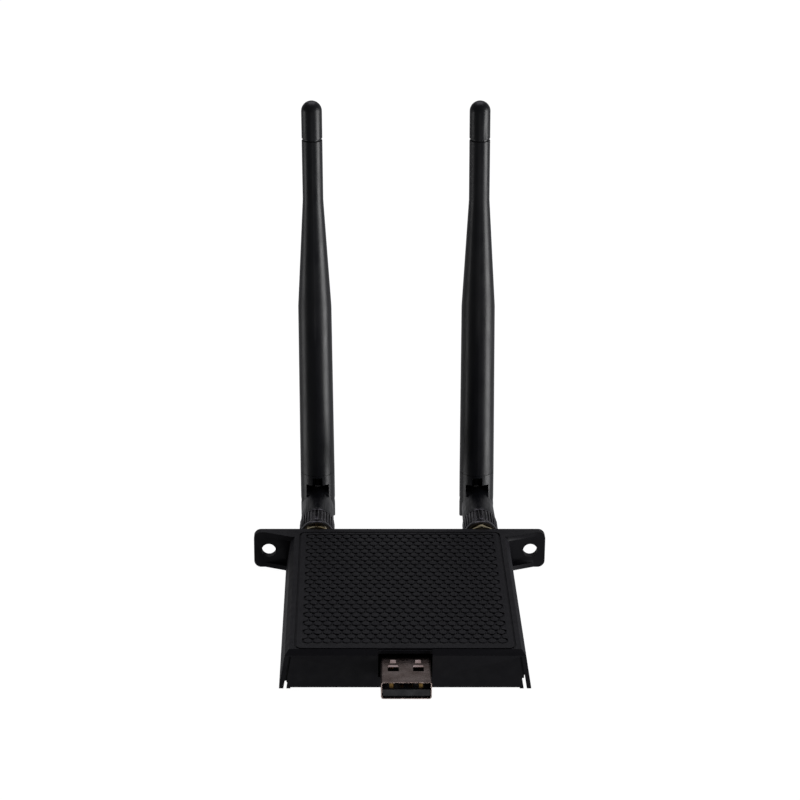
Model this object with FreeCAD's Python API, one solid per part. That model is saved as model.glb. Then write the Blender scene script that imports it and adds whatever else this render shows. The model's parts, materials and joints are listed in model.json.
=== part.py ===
import FreeCAD, Part
import math
import os
from FreeCAD import Vector

# Wireless adapter that plugs into a USB port inside a slot: a flat moulded case, a USB plug at the
# front (-Y), two screw ears on the rear plate and two jointed antennas screwed on behind it (+Y).
# Millimetres. Origin: centre of the case's underside. +Z up, +X to the right seen from the plug.

# Case
case_height = 10.2
wall_foot_z = 0.3
rear_y = 35.0
wall_bottom_half_width = 30.4
wall_top_half_width = 28.95
top_half_width = 27.9
front_bottom_y = -35.5
front_top_y = -35.7
top_front_y = -34.6
bevel_drop = 1.25
side_wall = 1.1
front_wall = 1.3
rear_wall = 2.2
roof_thickness = 1.3
groove_half_width = 26.45
groove_front_y = -34.35
groove_rear_y = 32.75
groove_width = 0.5
groove_depth = 0.45
groove_corner = 1.6
slit_width = 0.45
slit_depth = 0.8
notch_width = 0.75
notch_heights = {-1: 1.5, 1: 3.2}
foot_width = 0.9
slit_height = 8.4

# Screw ears
ear_half_span = 38.95
ear_corner = 1.9
ear_hole_half_spacing = 35.0
ear_hole_radius = 1.9
ear_hole_z = 4.85
gusset_reach = 2.9
gusset_run = 7.0
gusset_thickness = 1.3

# Bottom cover, circuit board and screws
cover_thickness = 1.4
cover_gap = 0.25
corner_relief_x = 3.2
corner_relief_y = 3.4
board_bottom = 2.5
board_thickness = 1.0
board_half_width = 27.0
board_front_y = -33.0
board_rear_y = 24.0
screw_x = 24.0
screw_front_y = -26.5
screw_rear_y = 19.5
screw_radius = 0.97
screw_head_radius = 1.9
screw_head_height = 1.0
screw_end_z = 7.5
pilot_radius = 1.0
screw_hole_radius = 1.1
screw_recess = (1.8, 0.3, 0.6)
boss_radius = 2.4
standoff_radius = 2.6
counterbore_radius = 2.1
counterbore_depth = 1.25

# USB plug
plug_width = 12.0
plug_height = 4.5
plug_tip_y = -47.3
plug_length = 18.75
plug_wall = 0.3
plug_corner = 0.6
plug_window_x = 3.0
plug_window_width = 2.5
plug_window_length = 2.0
plug_window_setback = 5.6
tongue_thickness = 1.95
tongue_setback = 0.6
tongue_block_length = 6.5
contact_pitches = (-3.5, -1.0, 1.0, 3.5)
contact_width = 1.0
contact_thickness = 0.2
contact_setback = 0.7
contact_stagger = 1.0
mouth_half_width = 6.5
mouth_bottom_z = 3.1

# Parts on the board
shield_size = (20.0, 16.0, 1.8)
shield_wall = 0.2
shield_y = -9.0
wifi_chip_size = (7.0, 7.0, 0.9)
crystal_size = (3.2, 2.5, 0.8)
regulator_size = (3.0, 1.7, 1.1)
capacitor_size = (1.0, 0.5, 0.5)
capacitor_count = 6
capacitor_pitch = 2.4
capacitor_y = -19.2
crystal_x = -14.5
regulator_x = 14.5
regulator_y = -17.0
socket_x = 8.0
socket_y = 8.0
socket_base = (2.6, 2.6, 0.4)
socket_radius = 0.95
socket_wall = 0.25
socket_height = 1.2
clip_radius = 1.4
clip_height = 1.3
crimp_radius = 0.73
crimp_reach = 3.2
crimp_height = 1.2
pigtail_setback = 1.65
pigtail_lead = 4.95

# Coaxial connectors in the rear plate
connector_x = 22.2
connector_z = 5.75
thread_radius = 3.15
thread_reach = 9.5
panel_hole_radius = 3.25
flange_radius = 3.5
flange_thickness = 2.0
flange_pocket = 0.45
flange_clearance = 0.5
neck_radius = 2.2
ferrule_radius = 1.45
ferrule_length = 3.0
neck_length = 2.0
thread_chamfer = 0.3
mouth_radius = 2.32
mouth_depth = 2.3
dielectric_radius = 2.0
pin_radius = 0.46
pin_reach = 2.0
washer_radius = 5.0
washer_thickness = 0.5
washer_teeth = 12
washer_gap = 0.7
hex_across_flats = 8.0
hex_thickness = 2.4
hex_chamfer = 0.3
pigtail_radius = 0.565
feed_radius = 0.685

# Coupling nut and the antenna's plug
nut_gap = 4.1
nut_length = 9.0
nut_radius = 4.8
nut_bore = 3.2
nut_lip = 2.0
nut_chamfer = 0.45
nut_rib_depth = 0.22
nut_ribs = 32
plug_sleeve_radius = 2.27
plug_core_radius = 1.8
plug_insulator_setback = 0.7
contact_radius = 0.78
contact_bore_depth = 2.4
plug_tip_gap = 0.2
plug_flange_radius = 3.08
shank_radius = 2.6
collar_radius = 3.0
collar_length = 1.0
shank_length = 3.0

# Elbow arm
arm_start = 13.3
arm_end = 25.2
arm_start_radius = 4.5
arm_end_radius = 4.35
arm_shoulder = 0.7
arm_soft = 0.2
arm_tongue_back = 1.4
tongue_half_width = 3.1
tongue_radius = 3.9
hinge_reach = 30.2
hinge_pin_radius = 1.0
hinge_pin_inner_x = 1.7
hinge_pin_recess = 0.35
cable_slot_back = 1.5

# Blade, measured along Z while the antenna stands up
blade_radius = 4.75
fork_slot_half_width = 3.15
fork_slot_top = 11.7
cable_slot_half_width = 1.4
cable_slot_top = 13.9
tongue_clearance = 0.1
antenna_lean = -0.62
seam_z = 14.5
spigot_top = 21.0
spigot_radius = 3.75
shoulder_z = 63.0
shoulder_radius = 4.52
taper_end_z = 93.0
tip_radius = 2.75
sleeve_end_z = 109.35
cap_start_z = 109.85
cap_spigot_length = 4.0
cap_end_z = 119.9
sleeve_wall = 0.9
tip_groove_depth = 0.3
radiator_bottom = 30.0
radiator_middle = 58.0
radiator_top = 88.0
radiator_radius = 2.2
radiator_wall = 0.35
whip_radius = 0.45

# How far a cutting shape runs past the faces it cuts, and how deep joined shapes sink into each other
overrun = 1.0
sink = 0.5

# Clearances: a hair between pieces that only sit beside each other, and a running gap round a shaft
hair = 0.02
running_gap = 0.05

# Heights and places that follow from the ones above
inner_roof = case_height - roof_thickness
board_top = board_bottom + board_thickness
plug_centre_z = board_top + plug_height / 2
tongue_bottom_z = board_top + plug_wall + running_gap
rear_inner_y = rear_y - rear_wall
bevel_foot_z = case_height - bevel_drop
hinge_y = rear_y + hinge_reach
nut_start_y = rear_y + nut_gap
nut_end_y = nut_start_y + nut_length
lip_y = nut_end_y - nut_lip
jack_end_y = rear_y + thread_reach
flange_y = rear_inner_y - flange_thickness
neck_start_y = flange_y - neck_length
ferrule_start_y = neck_start_y - ferrule_length
jack_core_y = flange_y - neck_length / 2
pigtail_start_y = socket_y + pigtail_setback
pigtail_start_z = board_top + crimp_height
pigtail_end_y = ferrule_start_y + ferrule_length / 2
plug_tip_start_y = jack_end_y - mouth_depth + plug_tip_gap
collar_y = rear_y + arm_start + shank_length
plug_end_y = collar_y + collar_length
sides = {"left": -1, "right": 1}


def save(name, shape):
    """Writes one named piece."""
    shape.exportStep("parts/" + name + ".step")
    print(name, len(shape.Solids), round(shape.Volume, 2), shape.isValid())


def box(x0, x1, y0, y1, z0, z1):
    return Part.makeBox(x1 - x0, y1 - y0, z1 - z0, Vector(x0, y0, z0))


def centred_box(size, x, y, z0):
    return box(x - size[0] / 2, x + size[0] / 2, y - size[1] / 2, y + size[1] / 2, z0, z0 + size[2])


def level_rectangle(half_width, y0, y1, z):
    corners = [(-half_width, y0), (half_width, y0), (half_width, y1), (-half_width, y1)]
    points = [Vector(x, y, z) for x, y in corners]
    return Part.makePolygon(points + points[:1])


def rounded_rectangle(half_x, y0, y1, radius, z0, height):
    """Upright plate with rounded vertical edges."""
    plate = box(-half_x, half_x, y0, y1, z0, z0 + height)
    upright = [edge for edge in plate.Edges if abs(edge.Vertexes[0].Z - edge.Vertexes[1].Z) > height / 2]
    return plate.makeFillet(radius, upright)


def prism(points, direction):
    """Solid from a closed outline of points, pushed along a direction."""
    return Part.Face(Part.makePolygon(points + points[:1])).extrude(direction)


def rod(radius, x, y0, y1, z):
    """Round bar along Y."""
    return Part.makeCylinder(radius, y1 - y0, Vector(x, y0, z), Vector(0, 1, 0))


def post(radius, x, y, z0, z1):
    """Round bar along Z."""
    return Part.makeCylinder(radius, z1 - z0, Vector(x, y, z0))


def turned_along_y(profile, x, z):
    """Turned piece about a line along Y; the profile is (y, radius) pairs."""
    points = [Vector(x + radius, y, z) for y, radius in profile]
    face = Part.Face(Part.makePolygon(points + points[:1]))
    return face.revolve(Vector(x, 0, z), Vector(0, 1, 0), 360)


def turned_along_z(profile, x, y):
    """Turned piece about an upright line; the profile is (z, radius) pairs."""
    points = [Vector(x + radius, y, z) for z, radius in profile]
    face = Part.Face(Part.makePolygon(points + points[:1]))
    return face.revolve(Vector(x, y, 0), Vector(0, 0, 1), 360)


def cable(points, radius):
    """Round cable along straight runs joined by tangent arcs as large as the runs allow."""
    edges = []
    start = points[0]
    for before, corner, after in zip(points, points[1:], points[2:]):
        into = (corner - before).normalize()
        out = (after - corner).normalize()
        turn = into.getAngle(out)
        setback = 0.45 * min((corner - before).Length, (after - corner).Length)
        bend_radius = setback / math.tan(turn / 2)
        first = corner - into * setback
        last = corner + out * setback
        towards = (out - into).normalize()
        middle = corner + towards * (math.hypot(bend_radius, setback) - bend_radius)
        edges.append(Part.LineSegment(start, first).toShape())
        edges.append(Part.Arc(first, middle, last).toShape())
        start = last
        print("cable bend radius", round(bend_radius, 2))
    edges.append(Part.LineSegment(start, points[-1]).toShape())
    route = Part.Wire(edges)
    heading = (points[1] - points[0]).normalize()
    section = Part.Wire([Part.makeCircle(radius, points[0], heading)])
    tube = route.makePipeShell([section], True, False)
    print("cable volume ratio", round(tube.Volume / (math.pi * radius ** 2 * route.Length), 4))
    return tube


def screw_places():
    return [(side * screw_x, y) for side in (-1, 1) for y in (screw_front_y, screw_rear_y)]


def case_outside():
    """Walls that lean out towards the foot, under a bevelled flat top."""
    outlines = [
        level_rectangle(wall_bottom_half_width, front_bottom_y, rear_y, wall_foot_z),
        level_rectangle(wall_top_half_width, front_top_y, rear_y, bevel_foot_z),
        level_rectangle(top_half_width, top_front_y, rear_y, case_height),
    ]
    return Part.makeLoft(outlines, True, True)


def case_inside():
    """Hollow of the case, open below."""
    foot_half_width = wall_bottom_half_width - side_wall
    foot_y = front_bottom_y + front_wall
    outlines = [
        level_rectangle(foot_half_width, foot_y, rear_inner_y, -overrun),
        level_rectangle(foot_half_width, foot_y, rear_inner_y, wall_foot_z),
        level_rectangle(wall_top_half_width - side_wall, front_top_y + front_wall, rear_inner_y, inner_roof),
    ]
    return Part.makeLoft(outlines, True, True)


def ear(side):
    """Upright screw ear with rounded outer corners and a gusset at its top and bottom."""
    inner_x = top_half_width - side_wall
    plate = box(inner_x, ear_half_span, rear_inner_y, rear_y, 0, case_height)
    outer = [edge for edge in plate.Edges
             if edge.BoundBox.XMin > ear_half_span - 0.01 and edge.BoundBox.YLength > rear_wall / 2]
    plate = plate.makeFillet(ear_corner, outer)
    gusset_outline = [
        Vector(inner_x, rear_inner_y - gusset_reach, 0),
        Vector(wall_top_half_width, rear_inner_y - gusset_reach, 0),
        Vector(wall_top_half_width + gusset_run, rear_inner_y, 0),
        Vector(wall_top_half_width + gusset_run, rear_inner_y + sink, 0),
        Vector(inner_x, rear_inner_y + sink, 0),
    ]
    gusset = prism(gusset_outline, Vector(0, 0, gusset_thickness))
    raised = gusset.translated(Vector(0, 0, case_height - gusset_thickness))
    hole = rod(ear_hole_radius, ear_hole_half_spacing, rear_inner_y - overrun, rear_y + overrun, ear_hole_z)
    right_ear = plate.fuse([gusset, raised]).cut(hole)
    if side > 0:
        return right_ear
    return right_ear.mirror(Vector(0, 0, 0), Vector(1, 0, 0))


def top_groove():
    """Fine border line sunk into the top, with rounded corners."""
    floor_z = case_height - groove_depth
    half = groove_width / 2
    outer = rounded_rectangle(groove_half_width + half, groove_front_y - half, groove_rear_y + half,
                              groove_corner + half, floor_z, overrun)
    inner = rounded_rectangle(groove_half_width - half, groove_front_y + half, groove_rear_y - half,
                              groove_corner - half, floor_z, overrun)
    return outer.cut(inner)


def corner_slit(side, width, height, reach):
    """Slit between the front wall and a side wall, leaning with the wall, rounded at its top."""
    lean = (wall_bottom_half_width - wall_top_half_width) / (bevel_foot_z - wall_foot_z)
    outer_x = wall_bottom_half_width - side_wall
    inner_x = outer_x - width
    straight = height - width / 2
    start = front_top_y - overrun
    points = [
        Vector(side * (inner_x + lean * overrun), start, wall_foot_z - overrun),
        Vector(side * (outer_x + lean * overrun), start, wall_foot_z - overrun),
        Vector(side * (outer_x - lean * straight), start, wall_foot_z + straight),
        Vector(side * (inner_x - lean * straight), start, wall_foot_z + straight),
    ]
    slot = prism(points, Vector(0, reach, 0))
    centre_x = side * ((outer_x + inner_x) / 2 - lean * straight)
    return slot.fuse(rod(width / 2, centre_x, start, start + reach, wall_foot_z + straight))


def corner_foot(side):
    """Small foot under the front corner, on both sides of the slit, that reaches the ground."""
    outer_x = wall_bottom_half_width - side_wall
    foot = box(outer_x - notch_width - foot_width, wall_bottom_half_width, front_bottom_y,
               front_bottom_y + front_wall, 0, wall_foot_z)
    if side > 0:
        return foot
    return foot.mirror(Vector(0, 0, 0), Vector(1, 0, 0))


def upper_housing():
    shell = case_outside().fuse([ear(1), ear(-1), corner_foot(1), corner_foot(-1)])
    slits = [corner_slit(side, slit_width, slit_height, overrun + slit_depth) for side in sides.values()]
    notches = [corner_slit(side, notch_width, notch_heights[side], front_wall + 2 * overrun)
               for side in sides.values()]
    shell = shell.cut([case_inside(), top_groove()] + slits + notches)
    outside_y = front_top_y - overrun
    mouth_low = box(-mouth_half_width, mouth_half_width, outside_y, front_bottom_y + front_wall + sink,
                    mouth_bottom_z, inner_roof)
    mouth_high = box(-mouth_half_width, mouth_half_width, outside_y, top_front_y,
                     mouth_bottom_z, case_height + overrun)
    pocket_size = (2 * (flange_radius + flange_clearance), flange_thickness + 2 * flange_clearance,
                   flange_pocket)
    pocket_y = rear_inner_y - pocket_size[1] / 2
    openings = [mouth_low, mouth_high]
    for side in sides.values():
        openings.append(rod(panel_hole_radius, side * connector_x, rear_inner_y - overrun, rear_y + overrun,
                            connector_z))
        openings.append(centred_box(pocket_size, side * connector_x, pocket_y, inner_roof))
    bosses = [post(boss_radius, x, y, board_top + running_gap, inner_roof + sink) for x, y in screw_places()]
    pilots = [post(pilot_radius, x, y, board_bottom, screw_end_z + sink) for x, y in screw_places()]
    return shell.cut(openings).fuse(bosses).cut(pilots).removeSplitter()


def bottom_cover():
    half_width = wall_bottom_half_width - side_wall - cover_gap
    front = front_bottom_y + front_wall + 2 * cover_gap
    plate = box(-half_width, half_width, front, rear_inner_y - cover_gap / 2, 0, cover_thickness)
    reliefs = [box(side * half_width - corner_relief_x, side * half_width + corner_relief_x,
                   front - overrun, front + corner_relief_y, -overrun, cover_thickness + overrun)
               for side in sides.values()]
    standoffs = [post(standoff_radius, x, y, 0, board_bottom) for x, y in screw_places()]
    holes = [post(screw_hole_radius, x, y, -overrun, board_bottom + overrun) for x, y in screw_places()]
    counterbores = [post(counterbore_radius, x, y, -overrun, counterbore_depth) for x, y in screw_places()]
    return plate.cut(reliefs).fuse(standoffs).cut(holes + counterbores).removeSplitter()


def case_screws():
    """Pan-head screws driven up through the cover and the board into the bosses."""
    screws = []
    for x, y in screw_places():
        head_bottom = counterbore_depth - screw_head_height
        head = post(screw_head_radius, x, y, head_bottom, counterbore_depth)
        shank = post(screw_radius, x, y, counterbore_depth, screw_end_z)
        recess = centred_box(screw_recess, x, y, head_bottom)
        cross = recess.fuse(recess.rotated(Vector(x, y, 0), Vector(0, 0, 1), 90))
        screws.append(head.fuse(shank).cut(cross))
    return Part.makeCompound(screws)


def circuit_board():
    board = box(-board_half_width, board_half_width, board_front_y, board_rear_y, board_bottom, board_top)
    holes = [post(screw_hole_radius, x, y, 0, board_top + overrun) for x, y in screw_places()]
    return board.cut(holes)


def plug_skin(inset, y0, y1):
    """Rounded rectangular bar of the plug's outline, inset all round."""
    half_x = plug_width / 2 - inset
    half_z = plug_height / 2 - inset
    bar = box(-half_x, half_x, y0, y1, plug_centre_z - half_z, plug_centre_z + half_z)
    long_edges = [edge for edge in bar.Edges if edge.BoundBox.YLength > (y1 - y0) / 2]
    return bar.makeFillet(plug_corner - inset, long_edges)


def usb_shell():
    """Folded metal shell with two square windows in its upper and its lower face."""
    rear = plug_tip_y + plug_length
    shell = plug_skin(0, plug_tip_y, rear).cut(plug_skin(plug_wall, plug_tip_y - overrun, rear + overrun))
    window_y = plug_tip_y + plug_window_setback
    window_size = (plug_window_width, plug_window_length, 2 * plug_height)
    windows = [centred_box(window_size, side * plug_window_x, window_y + plug_window_length / 2,
                           plug_centre_z - plug_height) for side in (-1, 1)]
    return shell.cut(windows)


def usb_insulator():
    """Moulded tongue that fills the plug's lower half, with a block behind it."""
    half_x = plug_width / 2 - plug_wall - running_gap
    low = tongue_bottom_z
    high = plug_centre_z + plug_height / 2 - plug_wall - running_gap
    rear = plug_tip_y + plug_length
    tongue = box(-half_x, half_x, plug_tip_y + tongue_setback, rear, low, low + tongue_thickness)
    block = box(-half_x, half_x, rear - tongue_block_length, rear, low, high)
    groove_start = plug_tip_y + tongue_setback + contact_setback
    grooves = [box(x - contact_width / 2, x + contact_width / 2, groove_start, rear + overrun,
                   low + tongue_thickness - contact_thickness, low + tongue_thickness)
               for x in contact_pitches]
    moulding = tongue.fuse(block).common(plug_skin(plug_wall + running_gap, plug_tip_y, rear))
    return moulding.cut(grooves).removeSplitter()


def usb_contacts():
    """Four spring strips lying in the tongue, the outer two reaching further forward."""
    low = tongue_bottom_z + tongue_thickness - contact_thickness
    rear = plug_tip_y + plug_length
    half_width = contact_width / 2 - hair
    strips = []
    for x in contact_pitches:
        outer = abs(x) == max(contact_pitches)
        front = plug_tip_y + tongue_setback + contact_setback + hair + (0 if outer else contact_stagger)
        strips.append(box(x - half_width, x + half_width, front, rear, low, low + contact_thickness - hair))
    return Part.makeCompound(strips)


def rf_shield():
    """Thin steel lid, open below, over the radio chip."""
    lid = centred_box(shield_size, 0, shield_y, board_top)
    hollow_size = (shield_size[0] - 2 * shield_wall, shield_size[1] - 2 * shield_wall,
                   shield_size[2] - shield_wall)
    return lid.cut(centred_box(hollow_size, 0, shield_y, board_top))


def chip_capacitors():
    """Row of small ceramic capacitors behind the USB plug."""
    first = -capacitor_pitch * (capacitor_count - 1) / 2
    row = [centred_box(capacitor_size, first + index * capacitor_pitch, capacitor_y, board_top)
           for index in range(capacitor_count)]
    return Part.makeCompound(row)


def coax_socket(side):
    """Small snap-on coaxial socket soldered to the board."""
    x = side * socket_x
    base_top = board_top + socket_base[2]
    ring = post(socket_radius, x, socket_y, base_top, board_top + socket_height)
    hollow = post(socket_radius - socket_wall, x, socket_y, base_top, board_top + socket_height)
    return centred_box(socket_base, x, socket_y, board_top).fuse(ring.cut(hollow))


def coax_clip(side):
    """Crimped cap that snaps over the socket and holds the cable."""
    x = side * socket_x
    bottom = board_top + socket_base[2] + running_gap
    cap = post(clip_radius, x, socket_y, bottom, bottom + clip_height)
    hollow = post(socket_radius + running_gap, x, socket_y, bottom,
                  board_top + socket_height + running_gap)
    crimp = rod(crimp_radius, x, socket_y + socket_radius + running_gap, socket_y + crimp_reach,
                pigtail_start_z)
    bore = rod(pigtail_radius + hair, x, pigtail_start_y, socket_y + crimp_reach + overrun, pigtail_start_z)
    return cap.cut(hollow).fuse(crimp).cut(bore)


def coax_pigtail(side):
    """Cable from the snap-on cap round to the back of the connector."""
    socket_side = side * socket_x
    jack_side = side * connector_x
    points = [
        Vector(socket_side, pigtail_start_y, pigtail_start_z),
        Vector(socket_side, pigtail_start_y + pigtail_lead, pigtail_start_z),
        Vector(jack_side, pigtail_end_y - pigtail_lead, connector_z),
        Vector(jack_side, pigtail_end_y, connector_z),
    ]
    return cable(points, pigtail_radius)


def jack_shell(side):
    """Threaded connector barrel held in the rear plate by its flange inside and the nut outside."""
    profile = [
        (ferrule_start_y, 0), (ferrule_start_y, ferrule_radius), (neck_start_y, ferrule_radius),
        (neck_start_y, neck_radius), (flange_y, neck_radius), (flange_y, flange_radius),
        (rear_inner_y, flange_radius), (rear_inner_y, thread_radius),
        (jack_end_y - thread_chamfer, thread_radius), (jack_end_y, thread_radius - thread_chamfer),
        (jack_end_y, 0),
    ]
    x = side * connector_x
    barrel = turned_along_y(profile, x, connector_z)
    mouth = rod(mouth_radius, x, jack_end_y - mouth_depth, jack_end_y + overrun, connector_z)
    core = rod(dielectric_radius, x, jack_core_y, jack_end_y, connector_z)
    cable_bore = rod(pigtail_radius + hair, x, ferrule_start_y - overrun, flange_y, connector_z)
    return barrel.cut([mouth, core, cable_bore])


def jack_insulator(side):
    x = side * connector_x
    bar = rod(dielectric_radius - hair, x, jack_core_y, jack_end_y - mouth_depth, connector_z)
    return bar.cut(rod(pin_radius + hair, x, jack_core_y - overrun, jack_end_y, connector_z))


def jack_pin(side):
    return rod(pin_radius, side * connector_x, jack_core_y, jack_end_y - mouth_depth + pin_reach, connector_z)


def lock_washer(side):
    """Internal-tooth washer between the plate and the nut."""
    x = side * connector_x
    front = rear_y - overrun
    back = rear_y + overrun
    ring = rod(washer_radius, x, rear_y, rear_y + washer_thickness, connector_z)
    ring = ring.cut(rod(panel_hole_radius, x, front, back, connector_z))
    gap = box(x - washer_gap / 2, x + washer_gap / 2, front, back, connector_z,
              connector_z + panel_hole_radius + washer_gap)
    gaps = [gap.rotated(Vector(x, 0, connector_z), Vector(0, 1, 0), index * 360 / washer_teeth)
            for index in range(washer_teeth)]
    return ring.cut(gaps)


def hex_nut(side):
    """Panel nut with its corners chamfered; the right one has a corner on top, the left one a flat."""
    x = side * connector_x
    start = rear_y + washer_thickness
    end = start + hex_thickness
    corner = hex_across_flats / math.sqrt(3)
    sixth = math.pi / 3
    turn = 0 if side > 0 else sixth / 2
    points = [Vector(x + corner * math.sin(turn + index * sixth), start,
                     connector_z + corner * math.cos(turn + index * sixth)) for index in range(6)]
    profile = [
        (start, 0), (start, corner - hex_chamfer), (start + hex_chamfer, corner),
        (end - hex_chamfer, corner), (end, corner - hex_chamfer), (end, 0),
    ]
    envelope = turned_along_y(profile, x, connector_z)
    bore = rod(thread_radius + hair, x, rear_y, end + overrun, connector_z)
    return prism(points, Vector(0, hex_thickness, 0)).common(envelope).cut(bore)


def coupling_nut(side):
    """Ribbed nut that turns by hand; its inner lip holds the antenna's plug."""
    x = side * connector_x
    profile = [
        (nut_start_y, 0), (nut_start_y, nut_radius - nut_chamfer), (nut_start_y + nut_chamfer, nut_radius),
        (nut_end_y - nut_chamfer, nut_radius), (nut_end_y, nut_radius - nut_chamfer), (nut_end_y, 0),
    ]
    nut = turned_along_y(profile, x, connector_z)
    flute = rod(nut_rib_depth, x, nut_start_y + 2 * nut_chamfer, nut_end_y - nut_chamfer,
                connector_z + nut_radius)
    flutes = [flute.rotated(Vector(x, 0, connector_z), Vector(0, 1, 0), index * 360 / nut_ribs)
              for index in range(nut_ribs)]
    bore = rod(nut_bore, x, nut_start_y - overrun, lip_y, connector_z)
    lip_bore = rod(shank_radius + running_gap, x, nut_start_y, nut_end_y + overrun, connector_z)
    return nut.cut(flutes + [bore, lip_bore])


def antenna_plug(side):
    """Metal core: a sleeve that enters the jack, a flange under the nut's lip and a shank for the arm."""
    x = side * connector_x
    seat_y = jack_end_y + hair
    profile = [
        (plug_tip_start_y, 0), (plug_tip_start_y, plug_sleeve_radius), (seat_y, plug_sleeve_radius),
        (seat_y, plug_flange_radius), (lip_y - hair, plug_flange_radius), (lip_y - hair, shank_radius),
        (collar_y, shank_radius), (collar_y, collar_radius),
        (plug_end_y, collar_radius), (plug_end_y, 0),
    ]
    core = turned_along_y(profile, x, connector_z)
    return core.cut(rod(plug_core_radius, x, plug_tip_start_y - overrun, plug_end_y + overrun, connector_z))


def plug_insulator(side):
    x = side * connector_x
    start = plug_tip_start_y + plug_insulator_setback
    bar = rod(plug_core_radius - hair, x, start, plug_end_y, connector_z)
    return bar.cut(rod(contact_radius + hair, x, start - overrun, plug_end_y + overrun, connector_z))


def plug_contact(side):
    """Centre contact: a tube over the jack's pin, solid behind it."""
    x = side * connector_x
    start = plug_tip_start_y + running_gap
    tube = rod(contact_radius, x, start, plug_end_y, connector_z)
    bore = rod(pin_radius + running_gap, x, start - overrun, start + contact_bore_depth, connector_z)
    return tube.cut(bore)


def elbow_arm(side):
    """Plastic arm that swivels on the plug's shank and carries the hinge tongue."""
    x = side * connector_x
    start = rear_y + arm_start
    end = rear_y + arm_end
    profile = [
        (start, 0), (start, arm_start_radius - 2 * arm_soft),
        (start + arm_soft / 2, arm_start_radius - arm_soft / 2),
        (start + 2 * arm_soft, arm_start_radius), (end - arm_shoulder, arm_end_radius),
        (end - arm_soft, arm_end_radius - arm_soft), (end, arm_end_radius - arm_shoulder), (end, 0),
    ]
    body = turned_along_y(profile, x, connector_z)
    neck = box(x - tongue_half_width, x + tongue_half_width, end - overrun, hinge_y,
               connector_z - tongue_radius, connector_z + tongue_radius)
    round_neck = rod(arm_end_radius, x, end - arm_shoulder, hinge_y - arm_tongue_back, connector_z)
    flat_sides = box(x - tongue_half_width, x + tongue_half_width, start, hinge_y,
                     connector_z - arm_end_radius, connector_z + arm_end_radius)
    arm = body.fuse([neck, round_neck.common(flat_sides), crossbar(tongue_radius, x - tongue_half_width, x + tongue_half_width)])
    cable_gap = feed_radius + 2 * running_gap
    shank_bore = rod(shank_radius + running_gap, x, start - overrun, collar_y, connector_z)
    collar_bore = rod(collar_radius + running_gap, x, collar_y - running_gap, plug_end_y + running_gap,
                      connector_z)
    cable_bore = rod(cable_gap, x, start, hinge_y, connector_z)
    slot = box(x - cable_gap, x + cable_gap, hinge_y - cable_slot_back, hinge_y + tongue_radius + overrun,
               connector_z - cable_gap, connector_z + tongue_radius + overrun)
    hole_floor = hinge_pin_inner_x - running_gap
    pin_holes = [crossbar(hinge_pin_radius + running_gap, x + hole_floor, x + blade_radius),
                 crossbar(hinge_pin_radius + running_gap, x - blade_radius, x - hole_floor)]
    return arm.cut([shank_bore, collar_bore, cable_bore, slot] + pin_holes).removeSplitter()


def crossbar(radius, x0, x1):
    """Round bar along X on the hinge's axis."""
    return Part.makeCylinder(radius, x1 - x0, Vector(x0, hinge_y, connector_z), Vector(1, 0, 0))


def arm_cable(side):
    x = side * connector_x
    return rod(feed_radius, x, plug_end_y + 2 * running_gap, hinge_y - sink, connector_z)


def hinge_pins(side):
    """Two short pins, one in each cheek, that leave the middle free for the cable."""
    x = side * connector_x
    outer = blade_radius - hinge_pin_recess
    return Part.makeCompound([crossbar(hinge_pin_radius, x + hinge_pin_inner_x, x + outer),
                              crossbar(hinge_pin_radius, x - outer, x - hinge_pin_inner_x)])


def antenna_fork(side):
    """Two cheeks round the arm's tongue, a closed hood above them and a spigot for the sleeve."""
    x = side * connector_x
    below = connector_z - blade_radius - overrun
    before = hinge_y - blade_radius - overrun
    upright = post(blade_radius, x, hinge_y, connector_z, seam_z)
    foot = post(blade_radius, x, hinge_y, below, connector_z + sink)
    rounded_foot = foot.common(crossbar(blade_radius, x - blade_radius, x + blade_radius))
    spigot = post(spigot_radius, x, hinge_y, seam_z - sink, spigot_top)
    slot = box(x - fork_slot_half_width, x + fork_slot_half_width, before, hinge_y, below, fork_slot_top)
    round_slot = crossbar(tongue_radius + tongue_clearance, x - fork_slot_half_width, x + fork_slot_half_width)
    back = box(x - fork_slot_half_width, x + fork_slot_half_width, before,
               hinge_y + blade_radius + overrun, below, connector_z + running_gap)
    cable_slot = box(x - cable_slot_half_width, x + cable_slot_half_width, before, hinge_y,
                     fork_slot_top - sink, cable_slot_top)
    cable_bore = post(feed_radius + 2 * running_gap, x, hinge_y, connector_z, spigot_top + overrun)
    pin_bore = crossbar(hinge_pin_radius, x - blade_radius, x + blade_radius)
    solid = upright.fuse([rounded_foot, spigot])
    return solid.cut([slot, round_slot, back, cable_slot, cable_bore, pin_bore]).removeSplitter()


def antenna_sleeve(side):
    """Long hollow blade, slightly tapered, then narrowing to a slim neck."""
    outside = [(seam_z, blade_radius), (shoulder_z, shoulder_radius), (taper_end_z, tip_radius),
               (sleeve_end_z, tip_radius)]
    inside = [(sleeve_end_z, tip_radius - sleeve_wall), (taper_end_z, tip_radius - sleeve_wall),
              (shoulder_z, shoulder_radius - sleeve_wall), (seam_z, spigot_radius + running_gap)]
    return turned_along_z(outside + inside, side * connector_x, hinge_y)


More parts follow.
